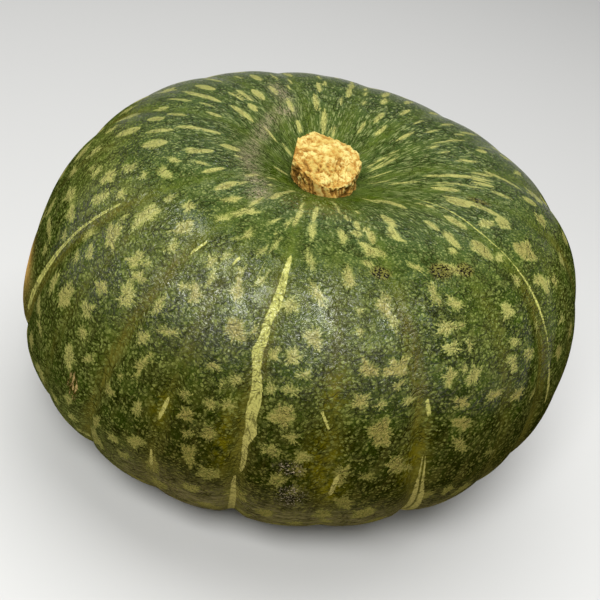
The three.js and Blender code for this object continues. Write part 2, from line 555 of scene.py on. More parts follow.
marks = {
    # azimuth, latitude, width round the fruit, length down the fruit, lean (mm and degrees)
    "patches": (
        (-153, 57, 3, 4.5, 0), (-145, 57, 2, 7, -40), (-160, 49.5, 5, 6.5, 0), (-148.5, 52, 5.5, 3, 15),
        (-145, 48.5, 7.5, 4, 0), (-147, 44.5, 4, 3, 0), (-152.5, 42, 4.5, 5.5, -20),
        (-153.5, 37, 7, 6, -20), (-146, 37.5, 4, 4.5, 0), (-158.5, 34.5, 4.5, 5, 0),
        (-161.5, 33.5, 2.5, 6, -20), (-149.5, 33, 5.5, 7, -20), (-135, 45.5, 3.5, 5, 0),
        (-129, 46.5, 4.5, 5.5, 0), (-135, 39, 7, 10, 0), (-124.5, 41.5, 4.5, 9, -45),
        (-123.5, 37, 3.5, 5, 0), (-138, 30.5, 6, 11, 35), (-139, 35, 2.5, 4.5, 0),
        (-128.5, 30, 6, 5.5, 0), (-125.5, 31, 3, 3, 0), (-159.5, 26.5, 9, 6, 15),
        (-154, 25.5, 6.5, 6, 0), (-144, 26.5, 4, 8, -30), (-140, 24.5, 4.5, 5, 0),
        (-143, 21.5, 4.5, 4, 0), (-132, 21.5, 6, 5, 0), (-125.5, 23, 6.5, 8, -30),
        (-125.5, 27.5, 5, 4, 0), (-151, 21.5, 4, 3.5, 0), (-159, 18, 11, 4, -10), (-140, 14, 8, 9, -35),
        (-146, 13.5, 5.5, 8, 0), (-132.5, 16, 7.5, 5.5, 10), (-155, 15, 4, 4.5, 0),
        (-131.5, 11.5, 6.5, 4, 0), (-149, 6.5, 9, 5, -15), (-132.5, 5.5, 7, 8, 20),
        (-128, 8.5, 3.5, 6, -50), (-145, 4, 7.5, 3.5, -10), (-148, -2, 6, 7, 0), (-123, -13, 8, 10, 0),
        (-131, -5, 4, 5, 0), (-122, 55, 3, 8, -35), (-115.5, 54, 4, 10, -38), (-118.5, 49, 3, 6, -38),
        (-110, 48.5, 3, 5, 0), (-112, 46, 1.8, 4, -40), (-106, 55, 1.6, 7, -25),
        (-102, 57, 1.8, 8, -12), (-103, 51.5, 1.3, 4, 0), (-101.5, 48, 2.4, 7.5, -8),
        (-104, 45.5, 2.4, 5.5, -15), (-113.5, 38, 5, 4, 0), (-111.5, 41, 3, 3.5, -30),
        (-111.5, 35.5, 3, 7, 0), (-115.5, 31, 4.5, 2.8, 10), (-112.5, 30.5, 5, 6.5, 20),
        (-106, 39, 2.5, 4.5, 0), (-101, 38.5, 2.6, 9, -15), (-104.5, 34.5, 4.5, 8.5, 25),
        (-102, 27, 6.5, 8, 20), (-98.5, 28, 2.5, 5, 0), (-118.5, 25, 4.5, 6.5, -20),
        (-114, 21.5, 8.5, 3.5, 5), (-118.5, 18, 6.5, 4.5, 0), (-116.5, 13, 3.6, 12, -20),
        (-103, 19, 4.5, 3.5, 0), (-100.5, 16.5, 2.5, 3.5, 0), (-98, 18.5, 3.5, 5, 0),
        (-106, 12, 5, 3.6, 0), (-101, 12.5, 4, 4.5, 0), (-98, 13.5, 5, 3.6, 0),
        (-104.5, 8.5, 6, 5, -10), (-103.5, 5, 3.6, 4.5, 0), (-99.5, 7, 5.5, 5.5, -30),
        (-114, 5.5, 4.5, 5.5, 0), (-121.5, 5, 6.5, 4.5, -20), (-120, 9, 3.5, 2.8, 0),
        (-102, 1, 5.5, 8.5, 0), (-97.5, -3, 6.5, 7.5, 30), (-113, -2, 6.5, 6, 30),
        (-117.5, -6, 7, 4, 10), (-115, -10.5, 5.5, 4, 0), (-94, 56, 2.6, 11, 4), (-92, 47, 3, 9, 18),
        (-88.5, 39, 3.6, 10, 35), (-84.5, 56.5, 3.4, 7.5, 10), (-81.5, 45, 4.5, 8, 10),
        (-86.5, 29.5, 6, 6.5, -20), (-93.5, 35.5, 5, 6.5, -20), (-89.5, 25.5, 5.5, 5.5, 20),
        (-86.5, 23, 5, 3.4, 15), (-93, 24.5, 4, 5, 0), (-88.5, 14, 8.5, 8, 15), (-88.5, 19, 5, 3.6, 0),
        (-91.5, 18.5, 3.5, 4.5, 0), (-82.5, 7, 5, 5.5, 0), (-88.5, 7, 7, 4.5, 10),
        (-82.5, 4, 5.5, 4.5, 0), (-85.5, 1, 6, 6.5, 25), (-82, -2, 4, 5.5, 0), (-85, 10.5, 5.5, 3.6, 0),
        (-78.5, 58, 3.6, 4.5, 25), (-76, 53.5, 5, 8, 25), (-72, 53, 2.2, 6.5, 10),
        (-76.5, 49, 4, 3.6, 0), (-66, 57.5, 2.4, 7.5, 45), (-63.5, 49, 2.8, 7, 35),
        (-61.5, 42.5, 3.6, 8, 0), (-73.5, 38.5, 5.5, 7, 20), (-71, 35.5, 4, 6, 20),
        (-72, 41.5, 3, 3, 0), (-79, 37, 3, 2.6, 0), (-78, 33, 2.8, 3.4, 0), (-56.5, 39.5, 4, 6, 40),
        (-59.5, 34.5, 7, 5, 0), (-55.5, 34.5, 2.6, 2.8, 0), (-59, 30, 8.5, 3.8, 0),
        (-54.5, 30, 3.2, 4, 0), (-75, 25.5, 6, 6, 20), (-69.5, 26.5, 8.5, 7, 30),
        (-68.5, 22.5, 4, 3.4, 0), (-58.5, 24.5, 5, 5, 0), (-54, 23.5, 6, 6.5, 20),
        (-56, 25.5, 3.4, 3.4, 0), (-75.5, 19.5, 5, 6, 0), (-71.5, 19, 4.5, 3.4, 0),
        (-66, 19.5, 5, 3.4, 0), (-70, 13.5, 8.5, 9.5, -15), (-55.5, 18.5, 6.5, 4.5, 0),
        (-54.5, 14, 5.5, 7, 10), (-53.5, 9, 5, 8, 50), (-65.5, 6.5, 8, 7, -20), (-74.5, 3.5, 5, 10, 0),
        (-70, 3.5, 4.5, 3.6, 0), (-62.5, 4.5, 3.4, 7, 55), (-52.5, 48, 4.5, 9, 35),
        (-49.5, 53, 3.4, 4, 0), (-46, 57, 3.4, 7, -20), (-40.5, 52, 4.5, 6, 10),
        (-42.5, 35.5, 7, 5, 10), (-42.5, 28.5, 5, 3.8, 0), (-43.5, 23.5, 4.5, 7, 15),
        (-48, 18.5, 8, 4, 10), (-41.5, 16.5, 6, 5, 0), (-44.5, 4, 3, 7, 60), (-36, 48, 5, 4.5, 0),
        (-27.5, 56, 6, 5.5, 0), (-21.5, 54, 5.5, 7, 0), (-24.5, 45, 8.5, 7, 10), (-6.5, 45, 6, 6, 0),
        (-26.5, 36, 4.5, 3.8, 0), (-22.5, 35, 5.5, 3.8, 10), (-29.5, 38.5, 4.5, 4, 0),
        (-12.5, 35, 8, 4.5, 20), (-38.5, 24.5, 5, 5, 0), (-34, 29, 3, 5, 0), (-27, 19, 6, 5, 0),
        (-25, 26.5, 6, 3.4, 0), (-19.5, 20, 5, 5.5, 0), (-35.5, 14, 6, 3, 20),
        (-35.5, 41.5, 4.5, 4.5, 0),
    ),
    # azimuth, distance from the stem's axis, width, length, lean: the streaks on the crown
    "streaks": (
        (3, 40, 2.6, 23, 0), (8, 56, 3, 13, -30), (0, 64, 4, 6, 0), (-5, 39, 1.3, 17, 0),
        (-11, 36, 2.8, 9, 0), (-3, 24, 1.6, 9, 0), (4, 17, 1.2, 8, 0), (18, 18, 1.2, 8, 0),
        (-19, 47, 2.9, 22, 0), (-22, 42, 4, 8, 0), (-22, 57, 4, 6, 0), (-39, 60, 6, 9, 0),
        (-27, 66.5, 6, 7, 0), (-27.5, 77, 4, 6, 0), (-42, 27, 3.0, 14, -28), (-44, 20, 1.6, 10, -60),
        (-36, 47, 3.6, 9, 0), (-47.5, 46, 2.6, 7, 0), (-46.5, 54, 3.4, 8, 0), (-63.5, 41.5, 3.6, 9, 0),
        (-65.5, 49, 3, 8, 0), (-74, 50, 3, 9, 0), (-78, 46, 2.6, 6, 0), (-84.4, 31, 1.4, 20, 0),
        (-94.5, 44, 2.2, 12, 0), (-100, 48, 2.2, 13, 0), (-101, 41, 1.3, 10, 0), (-104, 28, 1.3, 8, 0),
        (-112.5, 32, 1.8, 14, 0), (-113, 41, 2.6, 9, 0), (-116, 50, 2, 9, 0), (-130, 28, 1.8, 7, 0),
        (-132, 37, 2, 8, 0), (-129, 51, 3.8, 10, 0), (-139, 49.5, 2.4, 9, 0), (-151.5, 49, 3, 10, 0),
        (-160, 16, 2.2, 7, 0), (-157.5, 37, 4, 8, 0), (-170, 50, 2.6, 10, 0), (-171, 70, 5, 8, 0),
        (-160, 62, 6, 8, 0), (180, 56, 3, 7, 0), (-176, 62, 4, 6, 0), (153, 57, 4.5, 9, 0),
        (159.5, 37, 3.4, 11, 0), (155, 25, 2, 8, 0), (149, 17.5, 1.8, 6, 0), (161, 53, 3.4, 15, 0),
        (149, 37, 4, 5, 0), (145, 44, 2.8, 9, 0), (137, 43, 4.2, 8, 0), (127, 44, 3, 7, 0),
        (122, 25, 2.4, 6, 0), (123, 35, 2.5, 8, 0), (150, 45, 2, 8, 0), (101, 28, 2.6, 12, 0),
        (106, 37, 2.6, 10, 0), (103, 47, 2.4, 9, 0), (128, 56, 4, 8, 0), (112, 62, 3.4, 9, 0),
        (92, 24, 1.6, 6, 0), (89, 47, 2.6, 9, 0), (74, 29, 1.8, 7, 0), (69, 36.5, 2.4, 8, 0),
        (73, 48, 2.6, 7, 0), (75, 57, 3, 12, 0), (62, 31, 2.2, 7, 0), (62, 47, 2.2, 8, 0),
        (47.5, 34, 2.2, 9, 0), (38.5, 22, 1.5, 13, 8), (31, 21, 1.5, 11, 20), (34, 46, 1.8, 15, 0),
        (40, 60, 2.4, 9, 0), (26, 55, 3, 5, 0), (17, 45, 1.8, 9, 0), (94, 66, 3, 9, 0),
        (57, 62, 3, 8, 0),
    ),
    "seed": 11,
    "tries": 2600,
    "spacing": 9.0,
    "size": (4.5, 8.0),
    "lobe": 0.2,
    "shy": 0.1,
    "streakLatitude": 50.0,
    # azimuth and latitude between which no scattered mark is needed
    "knownFrom": (-165, -5),
    "knownTo": (-5, 60),
    # half width of the green core, then azimuth, latitude and width in mm
    "stripes": (
        (0.0, ((-97, 46.5, 1.2), (-96.7, 43, 1.7), (-96.2, 38, 2.5), (-96.1, 34, 2.9),
               (-96.5, 31, 2.3), (-96.1, 27, 2.6),
               (-96.4, 24.5, 3.4), (-95.4, 21, 2.4), (-94.3, 18, 3.2), (-93.7, 15, 3.8), (-93.6, 12, 3.4),
               (-92.6, 9, 3.8), (-92.9, 6, 2.0), (-92.2, 3, 1.8), (-92.0, 0, 1.2))),
        (0.0, ((-92.6, -4, 0.8), (-92.3, -8, 1.4), (-91.5, -14, 1.9), (-90.5, -30, 2.2))),
        (0.2, ((-143.7, 36, 0.6), (-145.6, 31, 1.0), (-147.5, 26, 0.8), (-149.5, 20, 1.0),
               (-151.5, 14, 1.6),
               (-154.5, 6, 2.0), (-156.5, 0, 1.2))),
        (0.0, ((-117.5, 41.5, 1.0), (-118.8, 38, 0.9))),
        (0.0, ((-108.2, 41.5, 1.0), (-108.6, 40, 0.9))),
        (0.0, ((-109.1, 9.5, 1.3), (-109.5, 6, 1.3))),
        (0.0, ((-109.3, -3, 0.7), (-108.8, -9, 1.3))),
        (0.0, ((-75, 3, 1.4), (-74.9, -2, 1.2))),
        (0.0, ((-81.5, 16, 0.9), (-79.5, 13, 0.9))),
        (0.0, ((-62.2, 19, 1.1), (-61.4, 16.5, 1.3))),
        (0.4, ((-59.4, 6.5, 0.8), (-58, 1, 1.8), (-56.4, -6, 3.2), (-53.5, -18, 4.2), (-50, -32, 3.0))),
        (0.0, ((-28, 72, 0.2), (-30.5, 66, 0.4), (-33, 57, 0.5), (-33.3, 52, 0.3), (-33, 47, 0.2),
               (-32.9, 43, 0.5),
               (-32.5, 37, 0.8), (-32, 31, 0.7), (-31.5, 26, 0.3), (-31, 22, 0.2))),
        (0.15, ((-30.5, 18, 0.6), (-29.2, 12, 1.2), (-28.4, 8, 0.8))),
    ),
    # azimuth, latitude, spread round and down, in mm
    "scurf": ((130, 70.5, 5, 3), (142, 71.8, 4, 2.5), (153, 73, 4, 2.5), (165, 73.7, 4, 2.5),
              (178, 73.7, 4, 2.5),
              (-169, 73.7, 4, 3), (-157, 72, 4.5, 3.5), (-146, 70, 5, 3.5), (-136, 68.5, 5, 3),
              (-127, 66.5, 4, 4),
              (125, 64, 3, 7), (-118, 62, 3, 5)),
    "scab": ((-73, 47.6, 3.4, 2.4), (-56.6, 47.6, 4.2, 3.0), (-49.8, 47.2, 3.2, 2.6),
             (-14.5, 60.5, 1.8, 4.2)),
    "scar": ((-129.8, 0.6, 2.6, 6.0),),
    "polish": ((-107, 32, 16, 14), (-86, 34, 12, 13), (-126, 46, 12, 11), (-72, 37, 6, 7),
               (-116, 30, 8, 7)),
    "groundSpot": ((-165, 5, 9, 7), (-172, 0, 14, 9)),
    "burn": ((-82, -4, 5, 6), (-84, 4, 5, 3)),
    # painted shade of the basin round the stem: where it turns a saturated green
    "basin": ((-90, 78, 12, 8), (-140, 78, 8, 7), (-45, 79, 8, 6), (-90, 72, 9, 6)),
    "glow": ((-80, 20, 4, 7), (-79, 6, 5, 12), (-75, 0, 4, 7), (-96.5, 6, 3, 12), (-61.5, 6, 4, 10),
             (-110, 8, 3, 6)),
}


def markFruit(mesh):
    # write where every marking lies as values on the points, in millimetres
    growth = np.empty(len(mesh.vertices) * 3, np.float32)
    mesh.attributes["growthDirection"].data.foreach_get("vector", growth)
    growth = growth.reshape(-1, 3).astype(float)
    points = readPoints(mesh) / mm
    normals = np.empty(len(mesh.vertices) * 3, np.float32)
    mesh.vertices.foreach_get("normal", normals)
    normals = normals.reshape(-1, 3).astype(float)
    azimuth = np.arctan2(growth[:, 1], growth[:, 0])
    polar = np.arccos(np.clip(growth[:, 2], -1, 1))
    latitude = 90 - np.degrees(polar)
    reach = fruit["meanRadius"] * np.sin(polar)
    tone = np.random.default_rng(marks["seed"])

    def directionAt(azimuthDegrees, latitudeDegrees):
        a, l = np.radians(azimuthDegrees), np.radians(latitudeDegrees)
        return np.stack([np.cos(l) * np.cos(a), np.cos(l) * np.sin(a), np.sin(l)], -1)

    # the map that the fine patterns follow: a cylinder round the stem's axis, drawn in near the stem
    drawnIn = fruit["meanRadius"] * (np.maximum(reach, 1) / fruit["meanRadius"]) ** rind["drawIn"]
    # and one that makes them run toward the stem
    spokes = rind["spokeRing"] * np.stack([np.cos(azimuth), np.sin(azimuth)], -1)
    along = rind["spokeStretch"] * fruit["meanRadius"] * polar
    writeVector(mesh, "crownMap", np.column_stack([spokes, along]))
    writeVector(mesh, "rindMap", np.stack([drawnIn * np.cos(azimuth), drawnIn * np.sin(azimuth),
                                           fruit["meanRadius"] * polar], -1))

    # chosen marks first, then scattered ones wherever none is near
    crown = math.cos(math.radians(marks["streakLatitude"])) * fruit["meanRadius"]
    stars = list(marks["patches"])
    streaks = list(marks["streaks"])
    centres = [directionAt(a, l) for a, l, *_ in stars]
    centres += [directionAt(a, math.degrees(math.acos(r / fruit["meanRadius"]))) for a, r, *_ in streaks]
    placed = np.array([points[np.argmax(growth @ centre)] for centre in centres])
    for _ in range(marks["tries"]):
        a = tone.uniform(-180, 180)
        l = math.degrees(math.asin(tone.uniform(-0.92, 0.93)))
        size = tone.uniform(*marks["size"])
        lean = tone.uniform(-60, 60)
        stretch = tone.uniform(1.0, 1.7)
        distance = fruit["meanRadius"] * math.cos(math.radians(l))
        onCrown = l > 0 and distance < crown
        if onCrown:
            stretch = tone.uniform(2.5, 5.0)
            size *= 0.28 + 0.4 * distance / crown
        fromWhere, toWhere = marks["knownFrom"], marks["knownTo"]
        if fromWhere[0] < a < toWhere[0] and fromWhere[1] < l < toWhere[1]:
            continue
        spot = points[np.argmax(growth @ directionAt(a, l))]
        clear = marks["spacing"] * (size / marks["size"][1]) ** 0.5
        if np.min(np.linalg.norm(placed - spot, axis=1)) < clear:
            continue
        placed = np.vstack([placed, spot])
        width, length = size / stretch ** 0.5, size * stretch ** 0.5
        if onCrown:
            streaks.append((a, distance, width, length, 0))
        else:
            stars.append((a, l, width, length, lean))

    # star patches: how far inside the nearest one's lobed edge
    patch = np.full(len(points), -6.0)
    shade = np.zeros(len(points))
    within = np.zeros((len(points), 3))
    for a, l, width, length, lean in stars:
        index = np.argmax(growth @ directionAt(a, l))
        spot, normal = points[index], normals[index]
        near = np.flatnonzero(np.abs(points - spot).max(1) < max(width, length) * 0.9 + 5)
        east = np.cross((0, 0, 1), growth[index])
        east -= normal * (east @ normal)
        east /= np.linalg.norm(east)
        down = np.cross(east, normal)
        offset = points[near] - spot
        u, v = offset @ east, offset @ down
        turn = math.radians(lean)
        u, v = u * math.cos(turn) - v * math.sin(turn), u * math.sin(turn) + v * math.cos(turn)
        angle = np.arctan2(v / length, u / width)
        lobes = np.ones(len(near))
        for count in (2, 3, 4, 5, 7):
            reachOut = tone.uniform(0.3, 1.0) * marks["lobe"] * (2 / count) ** 0.5
            lobes += reachOut * np.cos(count * angle + tone.uniform(0, 2 * math.pi))
        inside = (lobes - 2 * np.hypot(u / width, v / length)) * min(width, length) / 2 - marks["shy"]
        inside -= np.abs(offset @ normal) * 0.4
        nearer = inside > patch[near]
        own = near[nearer]
        patch[own] = inside[nearer]
        shade[own] = tone.uniform(-1, 1)
        within[own] = np.column_stack([u, v, np.full(len(u), tone.uniform(0, 50))])[nearer]
    writeValue(mesh, "patch", patch)
    writeValue(mesh, "patchTone", shade)
    writeVector(mesh, "patchPlace", within)

    def turned(degrees):
        # distance round the fruit from a direction, in mm
        return np.radians((np.degrees(azimuth) - degrees + 180) % 360 - 180) * reach

    # streaks on the crown: distance across the nearest one and its half width there
    across = np.full(len(points), 9.0)
    half = np.full(len(points), -2.0)
    for a, middle, width, length, lean in streaks:
        distance = turned(a + lean * (reach - middle) / 60)
        along = (reach - middle) / (length / 2)
        past = np.clip(np.abs(along) - 1, 0, 9) * length / 2
        bulge = width / 2 * np.sqrt(np.clip(1 - along ** 2, 0, 1)) - past
        inside = bulge - np.abs(distance)
        nearer = (inside > half - np.abs(across)) & (latitude > 0) & (inside > -2.2)
        across[nearer] = distance[nearer]
        half[nearer] = bulge[nearer]
    writeValue(mesh, "streakAcross", across)
    writeValue(mesh, "streakHalf", half)
    writeValue(mesh, "streakInside", half - np.abs(across))

    # cream stripes: the same, with the half width of the green core that splits some of them
    across = np.full(len(points), 9.0)
    half = np.full(len(points), -2.0)
    core = np.zeros(len(points))
    for gap, path in marks["stripes"]:
        azimuths, latitudes, widths = np.array(sorted(path, key=lambda knot: knot[1]), float).T
        distance = turned(np.interp(latitude, latitudes, azimuths))
        beyond = np.maximum(latitude - latitudes[-1], latitudes[0] - latitude) * 1.5
        nearer = (np.abs(distance) < np.abs(across)) & (beyond < 4)
        across[nearer] = distance[nearer]
        half[nearer] = (np.interp(latitude, latitudes, widths) / 2 - np.maximum(beyond, 0) * 0.5)[nearer]
        core[nearer] = gap
    writeValue(mesh, "stripeAcross", across)
    writeValue(mesh, "stripeHalf", half)
    writeValue(mesh, "stripeCore", core)

    # the streaky band that follows each seam
    seam = np.zeros(len(points))
    waist, shoulder = fruit["waistLatitude"], fruit["shoulderLatitude"]
    climb = np.clip((latitude - waist) / (shoulder - waist), fruit["climbLeast"], fruit["climbMost"])
    for at, swing, depth in fruit["seams"]:
        band = np.exp(-(turned(at + swing * climb) / rind["seamBand"]) ** 2)
        seam = np.maximum(seam, band * min(1, depth / rind["seamFull"]))
    writeValue(mesh, "seam", seam)

    # worn and odd places, and the painted shade of the basin: soft spots given by azimuth, latitude and
    # reach in mm
    for name in ("scurf", "scab", "scar", "polish", "groundSpot", "burn", "glow", "basin"):
        value = np.zeros(len(points))
        for a, l, w, h in marks[name]:
            centre = points[np.argmax(growth @ directionAt(a, l))]
            index = np.argmin(np.linalg.norm(points - centre, axis=1))
            east = np.cross((0, 0, 1), growth[index])
            east = east / np.linalg.norm(east)
            offset = points - centre
            u = offset @ east
            v = np.sqrt(np.maximum((offset ** 2).sum(1) - u ** 2, 0))
            value = np.maximum(value, np.exp(-(u / w) ** 2 - (v / h) ** 2))
        writeValue(mesh, name, value)
    writeValue(mesh, "latitude", latitude)
    mesh.attributes.remove(mesh.attributes["growthDirection"])
    print("markings placed:", len(stars), "patches and", len(streaks), "streaks")
    return points[np.argmax(growth[:, 2])] * mm


rind = {
    "drawIn": 0.5,
    "spokeRing": 55.0,
    "spokeStretch": 0.34,
    "seamBand": 2.6,
    "seamFull": 1.3,
    "deepGreen": linear(34, 46, 6),
    "midGreen": linear(58, 77, 18),
    "greyGreen": linear(78, 88, 34),
    "poreGreen": linear(18, 26, 2),
    # lighter mottles and pores, and the painted sheen of the front belt
    "mottleAndSheenGreen": linear(118, 124, 60),
    "crownGreen": linear(68, 87, 44),
    "basinShadeGreen": linear(62, 84, 0),
    # painted shade: near black and a dark brown, for the base, the fine creases and the wrinkle valleys
    "paintedShadeDark": linear(26, 26, 0),
    "lowShadeBrown": linear(56, 50, 16),
    "rimBrown": linear(122, 110, 74),
    "stippleGreen": linear(132, 142, 72),
    # a darker, browner copy of the stipple colour: painted shade for the base
    "lowShadedStipple": linear(102, 98, 44),
    "dashGreen": linear(156, 164, 104),
    "edgeGreen": linear(126, 138, 60),
    "paleGreen": linear(184, 182, 106),
    "tan": linear(164, 150, 84),
    # a darker, browner copy of the patches' colour: painted shade for the base
    "lowShadedTan": linear(114, 102, 46),
    "stripeCream": linear(184, 184, 100),
    # a darker, browner copy of the stripe colour: painted shade for the base
    "stripeShadedTan": linear(150, 140, 76),
    "seamOlive": linear(98, 112, 32),
    "seamBrown": linear(96, 90, 32),
    "oliveGlow": linear(100, 92, 8),
    "scurfGrey": linear(158, 144, 116),
    "scabBrown": linear(20, 18, 10),
    "scabTan": linear(132, 124, 60),
    "scarTan": linear(170, 146, 92),
    "scarBrown": linear(84, 50, 20),
    "spotOrange": linear(226, 178, 96),
    "stippleSpacing": 1.15,
    "dashSpacing": 1.1,
    "wrinkleSize": 3.3,
    "creaseSize": 1.5,
    "bumpDepth": 0.48,
    "pointGap": 0.65,
    "rayCount": 3.2,
    "rayReach": 4.8,
    "roughness": 0.15,
    "gloss": 0.32,
    "polish": 0.95,
    "glossLow": 0.0,
}


def rindMaterial():
    material, tree, skin = startMaterial("rind")
    attribute = partial(attributeOf, tree)
    plus, minus, times, _ = sums(tree)
    ramp = partial(ramped, tree)
    blend = partial(mixColour, tree)

    def bothWays(noise, amount):
        # noise taken round its middle, so that it adds and takes away
        return times(minus(noise, 0.5), amount)

    rindMap = attribute("rindMap", "Vector")
    crownMap = attribute("crownMap", "Vector")

    def texture(kind, size, place, **settings):
        node = tree.nodes.new(kind)
        feed(tree, node.inputs["Vector"], place)
        node.inputs["Scale"].default_value = 1 / size
        for name, value in settings.items():
            node.inputs[name].default_value = value
        return node

    def grain(size, detail=2.0, rough=0.5, stretch=(1, 1, 1)):
        # noise with features about that many millimetres apart
        place = vectorCalc(tree, "MULTIPLY", rindMap, stretch)
        return texture("ShaderNodeTexNoise", size, place, Detail=detail, Roughness=rough).outputs[0]

    latitude = attribute("latitude")
    seam = attribute("seam")
    east = apart(tree, rindMap)[0]
    # painted shade toward the base, with browner skin: low is its share, weaker on the left side
    low = times(ramp(latitude, 36.0, -4.0), ramp(east, -64.0, -24.0, 0.36, 1.0))
    fine = grain(1.3, 3.0, 0.6)
    hair = grain(0.6, 2.0, 0.6)
    sway = texture("ShaderNodeTexNoise", 1.6, rindMap, Detail=1.0).outputs[1]
    swayed = vectorCalc(tree, "ADD", rindMap, vectorCalc(tree, "MULTIPLY", sway, (1.4, 1.4, 1.4)))

    # ground: deep green with cloudy lighter places, a saturated green in the basin as its painted shade,
    # and painted shade with browner skin toward the base
    ground = blend(ramp(grain(7.0, 3.0), 0.35, 0.65), rind["deepGreen"], rind["midGreen"])
    ground = blend(ramp(grain(24.0, 2.0), 0.4, 0.7, 0.0, 0.5), ground, rind["greyGreen"])
    ground = blend(ramp(latitude, 36.0, 56.0, 0.0, 0.72), ground, rind["crownGreen"])
    mottle = times(ramp(grain(3.4, 2.0, 0.6), 0.54, 0.62), ramp(latitude, 50.0, 36.0))
    ground = blend(times(mottle, 0.4), ground, rind["mottleAndSheenGreen"])
    # painted sheen: a lighter belt at latitudes 22 to 46 on the front and left, where the waxy skin
    # shines
    sheenBelt = times(times(ramp(latitude, 22.0, 31.0), ramp(latitude, 46.0, 38.0)),
                     ramp(east, 44.0, 16.0))
    ground = blend(times(sheenBelt, 0.26), ground, rind["mottleAndSheenGreen"])
    # painted shade in the basin round the stem: a saturated green
    ground = blend(attribute("basin"), ground, rind["basinShadeGreen"])
    ground = blend(ramp(hair, 0.5, 0.36, 0.0, 0.5), ground, rind["poreGreen"])
    ground = blend(ramp(hair, 0.52, 0.66, 0.0, 0.4), ground, rind["mottleAndSheenGreen"])
    # the base's ground: painted dark shade and brown, with pale scuffs at the rim
    lowShadeAndScuff = blend(ramp(grain(3.0, 3.0, stretch=(1, 1, 0.3)), 0.45, 0.65), rind["paintedShadeDark"],
                      rind["lowShadeBrown"])
    scuffed = ramp(grain(1.6, 3.0, 0.65, stretch=(0.4, 0.4, 1.6)), 0.4, 0.62, 0.35, 1.0)
    lowShadeAndScuff = blend(times(ramp(latitude, 0.0, -20.0), scuffed), lowShadeAndScuff, rind["rimBrown"])
    ground = blend(times(low, 0.85), ground, lowShadeAndScuff)

    # olive, streaky bands along the seams
    streaky = grain(1.3, 2.0, 0.6, stretch=(1.0, 1.0, 0.12))
    band = times(seam, ramp(streaky, 0.3, 0.6, 0.25, 1.0))
    bandTone = blend(ramp(latitude, 50.0, 34.0), rind["seamOlive"], rind["seamBrown"])
    ground = blend(times(band, ramp(latitude, 54.0, 40.0, 0.4, 0.85)), ground, bandTone)
    glow = times(attribute("glow"), ramp(grain(2.2, 3.0), 0.32, 0.6))
    ground = blend(times(glow, 0.8), ground, rind["oliveGlow"])

    # wrinkles: thin winding valleys, whole in some places and broken in others
    bend = texture("ShaderNodeTexNoise", 3.0, rindMap, Detail=1.0).outputs[1]
    wound = vectorCalc(tree, "ADD", rindMap, vectorCalc(tree, "MULTIPLY", bend, (3.4, 3.4, 3.4)))
    wrinkle = texture("ShaderNodeTexVoronoi", rind["wrinkleSize"], wound)
    wrinkle.feature = "DISTANCE_TO_EDGE"
    skinEdge = wrinkle.outputs["Distance"]
    lined = ramp(grain(6.0, 2.0), 0.42, 0.58)
    valley = times(ramp(skinEdge, 0.09, 0.02), lined)
    crease = texture("ShaderNodeTexVoronoi", rind["creaseSize"], wound)
    crease.feature = "DISTANCE_TO_EDGE"
    creased = times(ramp(grain(9.0, 2.0), 0.38, 0.56, 0.15, 1.0), ramp(latitude, 56.0, 42.0, 0.15, 1.0))
    creaseEdge = crease.outputs["Distance"]
    # painted shade in the fine creases
    ground = blend(times(times(ramp(creaseEdge, 0.16, 0.03), creased), 0.16), ground, rind["paintedShadeDark"])

    # patches and streaks with ragged edges
    streak = minus(attribute("streakHalf"), calc(tree, "ABSOLUTE", attribute("streakAcross")))
    # two neighbours on either side of a point would fake a line between them
    streak = calc(tree, "MINIMUM", streak, plus(attribute("streakInside"), rind["pointGap"]))
    combed = texture("ShaderNodeTexNoise", 0.9, crownMap, Detail=2.0, Roughness=0.6).outputs[0]
    within = vectorCalc(tree, "MULTIPLY", attribute("patchPlace", "Vector"), (1, 1, 0))
    ray = vectorCalc(tree, "NORMALIZE", within)
    own = vectorCalc(tree, "MULTIPLY", attribute("patchPlace", "Vector"), (0, 0, 1))

    def fibre(count):
        # noise that runs outward from a patch's middle, like the rays of a star
        place = vectorCalc(tree, "ADD", vectorCalc(tree, "MULTIPLY", ray, (count, count, 0)), own)
        place = vectorCalc(tree, "ADD", place, vectorCalc(tree, "MULTIPLY", within, (0.25, 0.25, 0)))
        return texture("ShaderNodeTexNoise", 1.0, place, Detail=2.0, Roughness=0.65).outputs[0]

    fromMiddle = vectorCalc(tree, "LENGTH", within)
    fibrous = times(minus(fibre(rind["rayCount"]), 0.5),
                    ramp(fromMiddle, 0.3, 1.6, 0.0, rind["rayReach"]))
    frayed = plus(fibrous, bothWays(hair, 2.2), bothWays(fine, 1.0))
    frayed = times(frayed, ramp(latitude, 54.0, 40.0, 0.45, 1.0))
    mark = calc(tree, "MAXIMUM", plus(attribute("patch"), frayed),
                plus(streak, bothWays(combed, 1.0)))

